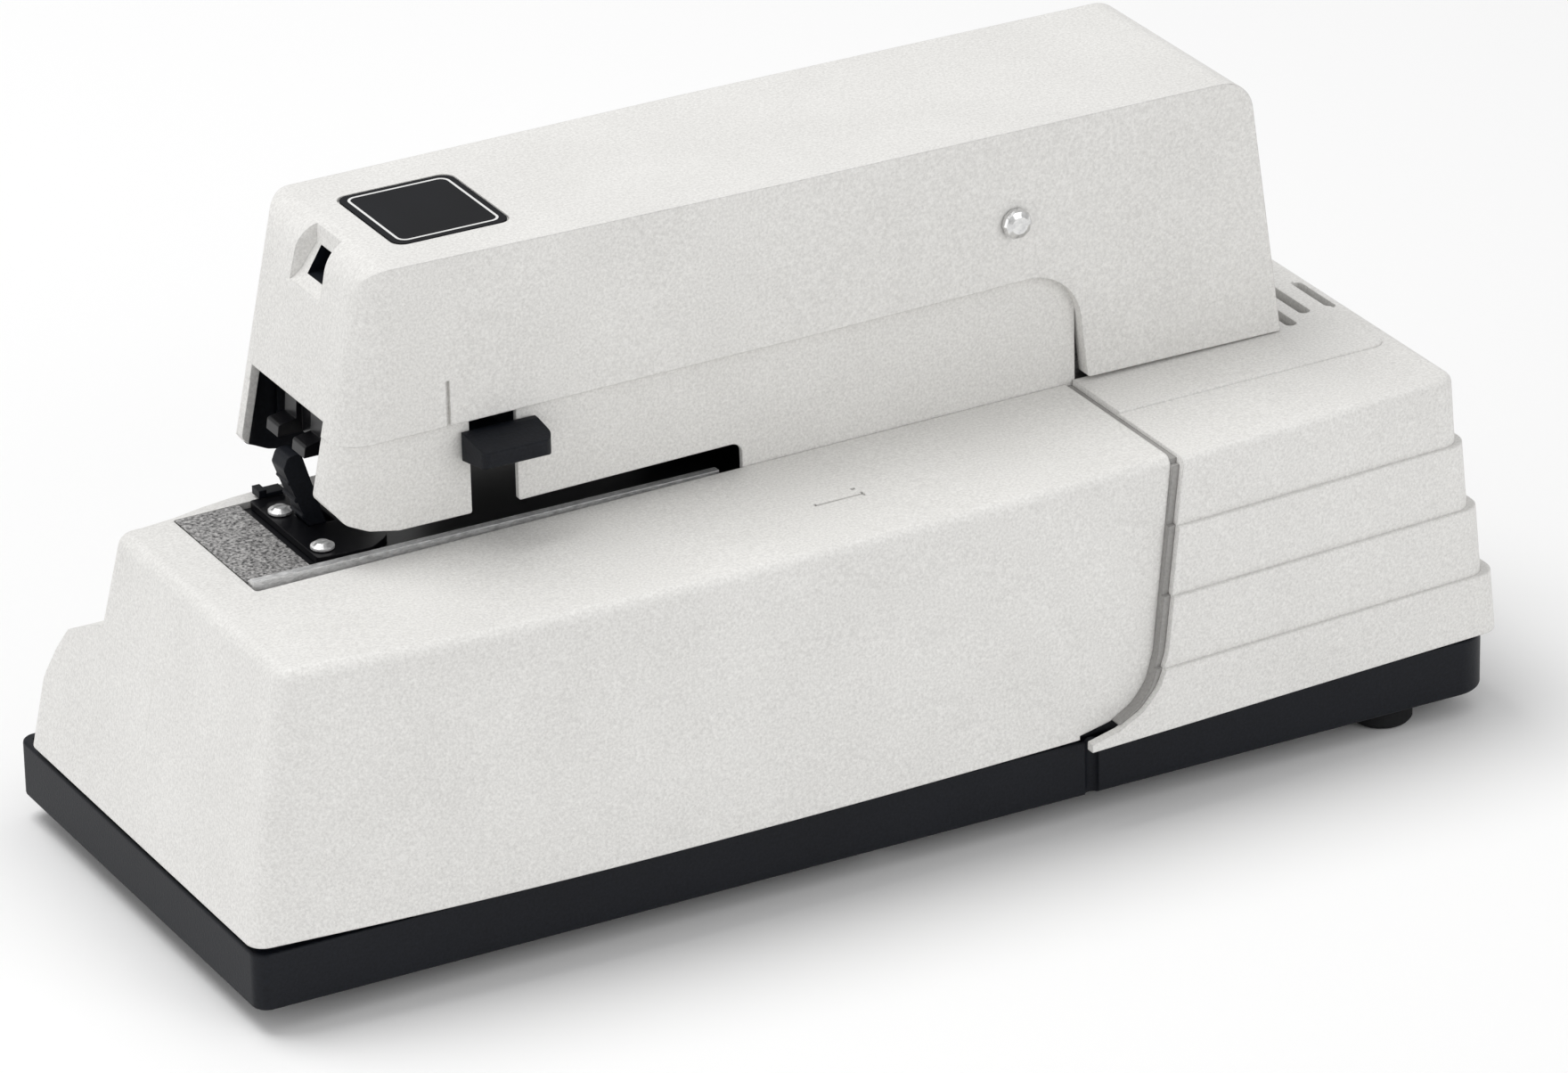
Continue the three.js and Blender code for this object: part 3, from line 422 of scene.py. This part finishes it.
def make_materials():
    return {
        "cover_grey": moulded_plastic(
            "cover_grey", (0.62, 0.61, 0.59), (0.86, 0.852, 0.83), 0.55, grain=0.7, depth=0.09, speckle=0.85
        ),
        "black_plastic": moulded_plastic(
            "black_plastic", (0.001, 0.0015, 0.0035), (0.007, 0.009, 0.014), 0.5,
            grain=0.8, depth=0.08, speckle=0.8, shine=0.22,
        ),
        "black_steel": moulded_plastic(
            "black_steel", (0.001, 0.001, 0.0015), (0.006, 0.006, 0.008), 0.3, 0.4, 0.01, 0.3, shine=0.35
        ),
        "foot_rubber": moulded_plastic(
            "foot_rubber", (0.006, 0.006, 0.007), (0.014, 0.014, 0.015), 0.8, 1.2, 0.08, shine=0.2
        ),
        # mid grey for the strips in the groove between the covers: painted shade of that groove
        "seal_grey": moulded_plastic(
            "seal_grey", (0.26, 0.255, 0.245), (0.42, 0.41, 0.40), 0.8, 0.8, 0.08, shine=0.2
        ),
        "bright_steel": metal(
            "bright_steel", (0.6, 0.6, 0.6), (0.95, 0.95, 0.95), 0.42,
            scale=500, stretch=(1, 3, 3), depth=0.03, metallic=0.7,
        ),
        "dark_steel": metal(
            "dark_steel", (0.02, 0.02, 0.022), (0.62, 0.61, 0.60), 0.5,
            scale=1100, depth=0.03, metallic=0.5,
        ),
        "gear_brass": metal("gear_brass", (0.45, 0.30, 0.10), (0.68, 0.48, 0.20), 0.35),
        "board_green": moulded_plastic(
            "board_green", (0.02, 0.10, 0.04), (0.04, 0.17, 0.07), 0.35, grain=0.8, depth=0.02
        ),
        "label_black": moulded_plastic(
            "label_black", (0.002, 0.002, 0.003), (0.007, 0.008, 0.011), 0.5, 0.4, 0.01, 0.15, shine=0.12
        ),
        "label_line": moulded_plastic(
            "label_line", (0.72, 0.72, 0.71), (0.85, 0.85, 0.84), 0.4, grain=0.3, depth=0.005, edge=0.1
        ),
        "bright_nickel": metal(
            "bright_nickel", (0.62, 0.62, 0.62), (0.82, 0.82, 0.81), 0.16, depth=0.004
        ),
    }


# ------------------------------------------------------------------ covers
def near_bottom(x):
    return -74.9 + (4.9 if x < 110 else 2.6) * ((x - 110) / 110) ** 2


def near_top(x):
    return -71.4 + 8.7 * abs((x - 165) / 152) ** 2.6


def far_top(x):
    return BLOCK_FAR - 4.7 * clamp01((50 - x) / 37) ** 2


def lean_in(x, y, z):
    """Draft of the front cover's tall block."""
    t = (z - COVER["bottom"]) / (COVER["top"] - COVER["bottom"])
    near = 1 + t * (near_top(x) / near_bottom(x) - 1)
    far = 1 + t * (far_top(x) / BLOCK_FAR - 1)
    rise = max(t, 0) * COVER["slope"] * (x - COVER["slope_start"])
    shift = COVER["lean"] * t * clamp01(1 - (x - COVER["front"]) / 100)
    return x + shift, y * (near if y < 0 else far), z + rise


def front_block(name, inset, low, high, edge):
    front = COVER["front"] + inset
    near = [(x, near_bottom(x) + inset) for x in spread(7, 300, 70)]
    far = [(x, BLOCK_FAR - inset) for x in spread(300, 7, 30)]
    corner = max(4.5 - inset, 1)
    corners = [(front, near_bottom(0) + inset, corner), *near, *far, (front, BLOCK_FAR - inset, corner)]
    body = slab(name, "z", rounded(corners, 8), low, high - inset, lean_in)
    return bevelled(body, edge, 6, 40) if edge else body


def shelf_bar(name, inset, grow, bottom):
    out = grow - inset
    profile = [
        (0, bottom),
        (66 + out + SHELF_LEAN * (COVER["bottom"] - bottom), bottom),
        (52.5 + out, 45 + out, 4),
        (48 + out, 51.5 + out, 4),
        (33 + out, 58.5 + out),
        (0, 58.5 + out),
    ]
    return slab(name, "x", rounded(profile, 8), -20, 400)


def lean_front(x, y, z):
    t = (z - COVER["bottom"]) / (COVER["top"] - COVER["bottom"])
    return x + COVER["lean"] * t * clamp01(1 - (x - COVER["front"]) / 100), y, z


def shelf_block(name, inset, bottom):
    front = COVER["front"] + inset
    plan = [
        (front, -10),
        (330, -10),
        (330, 70),
        (60, 66 - inset, 80),
        (27, 64.4 - inset, 30),
        (front, 60 - inset, 5),
    ]
    return meet(shelf_bar(name, inset, 0, bottom), slab("cut", "z", rounded(plan), -20, 100, lean_front))


def parting_zone(shift):
    """Side view of the rear cover; the groove leans forward as it goes down and then closes up."""
    return rounded([
        (254.8 + shift, 120),
        (244.6 + shift, 36, 12),
        (242.3 + 0.7 * shift, 28.5 - 0.1 * shift, 10),
        (238 + 0.4 * shift, 23.6 - 0.25 * shift, 10),
        (231.5, 20.2 - 0.25 * shift),
        (222.8 + 0.3 * shift, 18.6 - 0.25 * shift),
        (222.8 + 0.3 * shift, -10),
        (420, -10),
        (420, 120),
    ])


def staple_mark():
    """Thin groove in the shape of a staple, with deeper ends, sunk in the cover top."""
    m = STAPLE_MARK
    top = COVER["top"] + COVER["slope"] * (m["x0"] - COVER["slope_start"])
    half = m["width"] / 2

    def groove(xs, ys, depth):
        return block("cut", xs, ys, (top - depth, top + 5))

    bar = groove((m["x0"], m["x1"]), (m["y"] - half, m["y"] + half), m["depth"])
    start = groove((m["x0"] - half, m["x0"] + half), (m["y"] - half, m["y"] + 0.9), m["end_depth"])
    stop = groove((m["x1"] - half, m["x1"] + half), (m["y"] - 1.1, m["y"] + 1.1), m["end_depth"])
    tip = groove((m["x1"] - 1.4, m["x1"] - 0.2), (m["y"] + 3.2, m["y"] + 4.1), m["end_depth"])
    return bar, start, stop, tip


def inner_block(inset):
    """The whole body of the front cover, shrunk and carried on below its lower edge."""
    low = COVER["bottom"] - 8
    return join(front_block("inner", inset, low, COVER["top"], 0), shelf_block("shelf", inset, low))


def front_cover(materials):
    cover = join(
        front_block("front_cover_shell", 0, COVER["bottom"] - 6, COVER["top"], COVER["edge"]),
        shelf_block("shelf", 0, COVER["bottom"] - 5),
    )
    x0, x1, y0, y1 = CHANNEL
    carve(
        cover,
        inner_block(WALL),
        block("cut", EVERYWHERE, EVERYWHERE, (-20, COVER["bottom"])),
        slab("cut", "z", rounded([(x0, y0, 1), (420, y0), (420, y1), (x0, y1, 1)]), 70, 120),
        slab("cut", "y", parting_zone(0), -100, 100),
        *staple_mark(),
    )
    finished(cover, "base", ["front_cover"], materials["cover_grey"])


def rear_near(x):
    return -71.6 + 0.067 * (x - 260)


def rear_rise(x, y, z):
    return x, y, z + clamp01((z - 69) / 14) * COVER["slope"] * (x - COVER["slope_start"])


def rear_tier(tier, inset, far, drop):
    low = tier["low"] - drop
    near = [(x, rear_near(x) - tier["out"] + inset) for x in spread(222, tier["back"] - 10, 10)]
    back = tier["back"] - inset
    corners = [
        *near,
        (back, rear_near(tier["back"]) - tier["out"] + inset, TIER_CORNER["near"] - inset),
        (back, far - inset, TIER_CORNER["far"] - inset),
        (222, far - inset),
    ]
    top = tier["high"] - (inset if tier["high"] == TIERS[0]["high"] else 0)

    def lean(x, y, z):
        return rear_rise(x + 0.09 * clamp01((x - 300) / 30) * (low - z), y, z)

    body = slab("tier", "z", rounded(corners, 5), low - TIER_OVERLAP, top, lean)
    if inset:
        return body
    edge = 2.2 if tier["high"] == TIERS[0]["high"] else TIER_EDGE
    return bevelled(body, edge, 4, 40)


def rear_block(inset, drop):
    tall = [rear_tier(tier, inset, BLOCK_FAR + 0.6, drop) for tier in TIERS]
    wide = [rear_tier(tier, inset, 67, drop) for tier in TIERS]
    low = meet(join(*wide), shelf_bar("bar", inset, 1, REAR_BOTTOM - 5 - inset))
    return join(join(*tall), low)


def rear_cover(materials):
    step = [(222, -40.5), (331, -40.5, 4), (331, 24, 14), (318, BLOCK_FAR, 8), (222, BLOCK_FAR)]
    raised = bevelled(slab("step", "z", rounded(step), 82, TIERS[0]["high"] + 0.6, rear_rise), 0.4, 3)
    cover = join(rear_block(0, 0), raised)
    cover.name = "rear_cover_shell"
    x0, x1, y0, y1 = REAR_OPENING
    vents = []
    for x, v0, v1 in VENTS:
        corners = rectangle(grown((x, x), VENT_HALF), (v0, v1), 1.5)
        vents.append(slab("cut", "z", rounded(corners, 15), 80, 100))
    carve(
        cover,
        rear_block(WALL, 3),
        block("cut", EVERYWHERE, EVERYWHERE, (-20, REAR_BOTTOM)),
        slab("cut", "z", rounded([(x0, y0), (x1, y0, 2), (x1, y1, 2), (x0, y1)]), 78, 120),
        block("cut", (333, 355), (-22.2, 2.2), (33.8, 50.2)),
        block("cut", (333, 355), (10.8, 32.2), (33.8, 50.2)),
        *vents,
    )
    meet(cover, slab("cut", "y", parting_zone(PARTING), -100, 100))
    finished(cover, "base", ["rear_cover"], materials["cover_grey"])


def groove_shade_strips(materials):
    """Mid-grey strips that close the groove between the covers, a little below their surface; their grey is
    painted shade of the groove.
    """
    for side, open_band in (("near", (CHANNEL[2], 100)), ("far", (-100, CHANNEL[3]))):
        strip = carve(
            join(inner_block(GROOVE_SHADE_FILL["depth"]), rear_block(GROOVE_SHADE_FILL["rear_depth"], 0)),
            inner_block(WALL),
            slab("cut", "y", parting_zone(PARTING - GROOVE_SHADE_FILL["gap"]), -100, 100),
            block("cut", EVERYWHERE, open_band, (0, 120)),
            block("cut", EVERYWHERE, EVERYWHERE, (-20, GROOVE_SHADE_FILL["low"])),
        )
        meet(strip, slab("cut", "y", parting_zone(GROOVE_SHADE_FILL["gap"]), -100, 100))
        strip.name = f"groove_shade_strip_{side}"
        finished(strip, "base", [f"cover_seal_{side}"], materials["seal_grey"])


# ------------------------------------------------------------------ arm
def face_x(z):
    """Front of the arm at a height; it leans back towards the top."""
    return FACE[0] + FACE_LEAN * (z - FACE[1])


def lean_back(x, y, z):
    return x + FACE_LEAN * (z - FACE[1]) * clamp01((200 - x) / 150), y, z


def arm_plan():
    nose_near, nose_far = across(ARM["nose"])
    tail_near, tail_far = across(ARM["rear"])
    return rounded([
        (FACE[0], nose_near, 8.5),
        (ARM["taper"], tail_near),
        (330, tail_near),
        (330, tail_far),
        (ARM["taper"], tail_far),
        (FACE[0], nose_far, 8.5),
    ])


def arm_upper():
    profile = [
        (face_x(114) - 6, 114),
        (107, 115.5),
        (225, 117.8),
        (252.2, 118.7, 15),
        (255.6, 88.1, 1),
        (311.6, 88.1),
        (302.3, ARM["top"], 9),
        (face_x(ARM["top"]), ARM["top"], 9),
        (face_x(150), 150),
        (face_x(130), 130),
    ]
    body = slab("upper", "y", rounded(profile), -40, 60)
    meet(body, slab("cut", "z", arm_plan(), 60, 180, lean_back))
    return bevelled(body, 2.2, 5, 50)


def arm_skirt():
    profile = [
        (face_x(150), 150),
        (48.2, 99.3, 2),
        (52, 94.5, 5),
        (58, 91.6, 6),
        (66, 90),
        (85.6, 90, 0.6),
        (85.6, 115),
        (98.3, 115),
        (98.3, 90.4, 0.6),
        (159.5, 91.6, 3),
        (159.5, 77, 1.5),
        (253.5, 77, 1.5),
        (253.5, 130),
        (240, 150),
    ]
    plan = nose_outline(FACE[0], ARM["skirt"], 7)
    return meet(slab("skirt", "y", rounded(profile), -40, 60), slab("cut", "z", plan, 60, 180, lean_back))


def nose_outline(front, half, corner):
    near, far = across(half)
    return rounded([(front, near, corner), (330, near), (330, far), (front, far, corner)])


def arm_hollow():
    profile = rounded([(face_x(60) - 1, 60), (face_x(156) - 1, 156), (300.2, 156, 6.5), (309.2, 60)])
    plan = nose_outline(FACE[0] + ARM_WALL, ARM["cavity"], 5.5)
    return meet(slab("hollow", "y", profile, -40, 60), slab("cut", "z", plan, 50, 180, lean_back))


def screw_pocket():
    """Thick place at the top of the nose with the notch and the hole for the screwdriver."""
    pocket = block("pocket", (50, 70), (0.6, 21.4), (142, 157))
    front = [
        (face_x(140) + 1, 140),
        (80, 140),
        (80, 157.2),
        (face_x(156) + 4, 157.2),
        (face_x(156) + 2.1, 156),
        (face_x(151) + 1.2, 151),
    ]
    return meet(pocket, slab("cut", "y", front, -10, 40))


def screw_notch():
    """Sloping notch in the top of the nose, narrower towards the back, over the screwdriver hole."""
    profile = rounded([(50, 144), (57.5, 144, 2), (60, 146.4), (64, 153), (64.6, 170), (50, 170)])
    plan = [(45, 1.5), (58, 3), (66, 4.4), (66, 17), (58, 19.4), (45, 21)]
    return meet(slab("cut", "y", profile, 0, 30), slab("cut", "z", plan, 130, 180))


def arm_cuts():
    near_side = MID - ARM["nose"]
    label = rectangle(grown(LABEL["x"], LABEL["gap"]), grown(LABEL["y"], LABEL["gap"]), LABEL["corner"])
    screw_hole = block("cut", (58, 72), (6.3, 15.2), (146.4, 153))
    throat_window = block("cut", (30, 57), (-7.5, 32), (60, 118))
    room_for_rail = block("cut", (50.2, 56), (-16, -12), (80, 97))
    room_for_anvil_screw = block("cut", (47, 56), (-8.8, -7.4), (80, 98.6))
    side_mark = block("cut", (79.2, 80.2), (near_side - 3, near_side + 0.6), (110, 126.6))
    return (
        screw_notch(),
        screw_hole,
        throat_window,
        room_for_rail,
        room_for_anvil_screw,
        side_mark,
        slab("cut", "z", rounded(label), 157.6, 170),
        rod("cut", "y", PIVOT, PIVOT_HOLE, -40, 60),
    )


def paint_inside_shade(obj, material):
    """Painted shade: inner faces turned black, where the moulding is seen only through its openings."""
    obj.data.materials.append(material)
    middle = place(180, MID, 120)
    for face in obj.data.polygons:
        x, y, z = (face.center - SHIFT) / MM
        faces_in = face.normal.dot(middle - face.center) > 0
        in_pocket = z > 141.9 and x < 70.1 and 0.5 < y < 21.5
        in_hole = x > 60 and 6.2 < y < 15.3 and 146.3 < z < 153.1
        behind_front = face_x(z) + ARM_WALL - 0.2 < x < 309
        in_hollow = behind_front and abs(y - MID) < ARM["cavity"] + 0.2 and z < 156.2
        # faces inside the hollow and in the screwdriver hole take the black slot as painted shade
        if in_hole or (faces_in and in_hollow and not in_pocket):
            face.material_index = 1


def arm_housing(materials):
    housing = join(arm_upper(), arm_skirt())
    carve(housing, arm_hollow())
    join(housing, screw_pocket())
    carve(housing, *arm_cuts())
    housing.name = "arm_shell"
    finished(housing, "arm", ["arm_housing"], materials["cover_grey"])
    # the housing's inside is painted black as painted shade
    paint_inside_shade(housing, materials["black_plastic"])


def name_plate(materials):
    def border(inset, radius):
        return rounded(rectangle(grown(LABEL["x"], -inset), grown(LABEL["y"], -inset), radius))

    plate = slab("plain_plate", "z", border(0, LABEL["corner"]), LABEL["low"], LABEL["high"])
    bevelled(plate, 0.12, 2)
    finished(plate, "arm", ["name_plate"], materials["label_black"])
    line = carve(
        slab("plate_line", "z", border(LABEL_LINE["outer"], 2.6), LABEL_LINE["low"], LABEL_LINE["high"]),
        slab("cut", "z", border(LABEL_LINE["inner"], 2.0), 158, 159),
    )
    finished(line, "arm", [], materials["label_line"])


# ------------------------------------------------------------------ pan and small parts
def pan_outline(inset):
    half = PAN["half"] - inset
    x0, x1 = inset, PAN["length"] - inset
    front = PAN["front"] - inset
    rear = PAN["rear"] - inset
    return rounded([(x0, -half, front), (x1, -half, rear), (x1, half, rear), (x0, half, front)])


def pan_lip(inset):
    """Plan of the rib inside the covers; it follows the narrower far side of the front cover."""
    x0, x1 = 2.6 + inset, PAN["length"] - 2.4 - inset
    near = -PAN["half"] + 2.4 + inset
    rear = PAN["rear"] - 2 - inset
    return rounded([
        (x0, near, 3),
        (x1, near, rear),
        (x1, 61.8 - inset, rear),
        (60, 61.8 - inset),
        (27, 60.6 - inset),
        (x0 + 2.4, 56 - inset, 3),
        (x0 + 2.4, 31 - inset),
        (x0, 28 - inset),
    ])


def base_pan(materials):
    pan = bevelled(slab("pan_shell", "z", pan_outline(0), 0, PAN["height"]), 0.8, 3)
    carve(pan, slab("cut", "z", pan_outline(PAN["wall"]), PAN["wall"], PAN["height"] + 1))
    lip = slab("lip", "z", pan_lip(0), 1, PAN["lip"])
    join(pan, carve(lip, slab("cut", "z", pan_lip(1.8), 0, PAN["lip"] + 2)))
    for side in (-1, 1):
        carve(pan, rod("cut", "z", (228, side * (PAN["half"] + 0.4)), 2, -1, PAN["height"] + 1, 32))
    finished(pan, "base", ["base_pan"], materials["black_plastic"])


def pivot_pin(materials):
    """Facetted head on a round pin that has a groove for its clip."""
    head = turned("pin_head", "y", PIVOT, [(2.3, -23.5), (3.6, -22.8), (3.95, -22.2), (3.95, -20.9)], 10)
    shaft = turned("shaft", "y", PIVOT, [(3, -21), (3, 43.3), (2.4, 43.3), (2.4, 44.5), (3, 44.5), (3, 45.5)])
    finished(join(head, shaft), "base", ["pivot_pin"], materials["bright_nickel"], 20)


def release_knob(materials):
    wedge = rounded([
        (-28.6, 105.7, 1), (-17.9, 104.8), (-17.9, 112.3, 0.8), (-20, 112.1, 2), (-28.6, 109.7, 0.8),
    ])
    plan = rounded([(84.4, -28.8, 2.5), (103.8, -28.8, 4), (102.8, -17.9, 1), (82.8, -17.9, 1)])
    knob = meet(slab("knob", "x", wedge, 79, 106), slab("cut", "z", plan, 100, 120))
    bevelled(knob, 0.5, 4, 30)
    stem = block("stem", (87.4, 96.5), (-18.4, -1.4), (103.6, 109.6))
    join(knob, stem, block("tab", (87.4, 112), (-3.4, -1.4), (99, 114)))
    finished(knob, "release", ["release_knob"], materials["black_plastic"])


def springs(materials):
    """Coil springs for the arm and for the staple pusher."""
    x, y, low, high, crush = ARM_SPRING.values()
    lift = coil("lift_coil", "z", (x, y), 3, 0.6, low, high, 8)
    finished(lift, "base", ["arm_spring"], materials["bright_steel"])
    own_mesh(lift)

    z, front, rear, crush = PUSHER_SPRING.values()
    feed = coil("feed_coil", "x", (MID, z), 2.5, 0.4, front, rear, 12)
    finished(feed, "magazine", ["pusher_spring"], materials["bright_steel"])
    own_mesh(feed)


def keep_cad_nodes(materials):
    """Every remaining CAD node keeps its shape and gets its slot's material."""
    slots = {part["node"]: part["material_slot"] for part in frame["record"]["subparts"]}
    for name, node in frame["nodes"].items():
        node.data.materials.clear()
        node.data.materials.append(materials[slots[name]])
        node.data.shade_smooth()
        node.data.set_sharp_from_angle(angle=math.radians(32))


# ------------------------------------------------------------------ stage, light and camera
def stage():
    bm = bmesh.new()
    bmesh.ops.create_grid(bm, x_segments=2, y_segments=2, size=6)
    floor = mesh_object("floor", bm)
    floor.location.z = -0.0005
    material, nodes, links, shader = new_material("floor")
    shader.inputs["Base Color"].default_value = (0.93, 0.93, 0.93, 1)
    shader.inputs["Roughness"].default_value = 0.9
    floor.data.materials.append(material)


def area_light(name, position, target, size, power):
    data = bpy.data.lights.new(name, "AREA")
    data.shape = "DISK"
    data.size = size
    data.energy = power
    light = bpy.data.objects.new(name, data)
    bpy.context.scene.collection.objects.link(light)
    light.location = position
    aim = Vector(target) - Vector(position)
    light.rotation_euler = aim.to_track_quat("-Z", "Y").to_euler()


def lights():
    world = bpy.data.worlds.new("studio")
    bpy.context.scene.world = world
    world.use_nodes = True
    background = world.node_tree.nodes["Background"]
    background.inputs["Color"].default_value = (1, 1, 1, 1)
    background.inputs["Strength"].default_value = WORLD_LIGHT
    for light in LIGHTS:
        area_light(**light)


def camera():
    data = bpy.data.cameras.new("camera")
    data.lens = CAMERA_LENS
    data.sensor_width = 36
    data.clip_end = 50
    view = bpy.data.objects.new("camera", data)
    bpy.context.scene.collection.objects.link(view)
    right = (CAMERA_RIGHT - CAMERA_FORWARD * CAMERA_RIGHT.dot(CAMERA_FORWARD)).normalized()
    up = right.cross(CAMERA_FORWARD)
    turn = Matrix((right, up, -CAMERA_FORWARD)).transposed().to_4x4()
    spot = place(*CAMERA_TARGET) - CAMERA_FORWARD * CAMERA_DISTANCE * MM
    view.matrix_world = Matrix.Translation(spot) @ turn
    bpy.context.scene.camera = view


def main():
    materials = make_materials()
    keep_cad_nodes(materials)
    base_pan(materials)
    front_cover(materials)
    rear_cover(materials)
    groove_shade_strips(materials)
    arm_housing(materials)
    name_plate(materials)
    pivot_pin(materials)
    release_knob(materials)
    springs(materials)
    stage()
    lights()
    camera()
    bpy.context.scene.view_settings.view_transform = "Standard"


main()
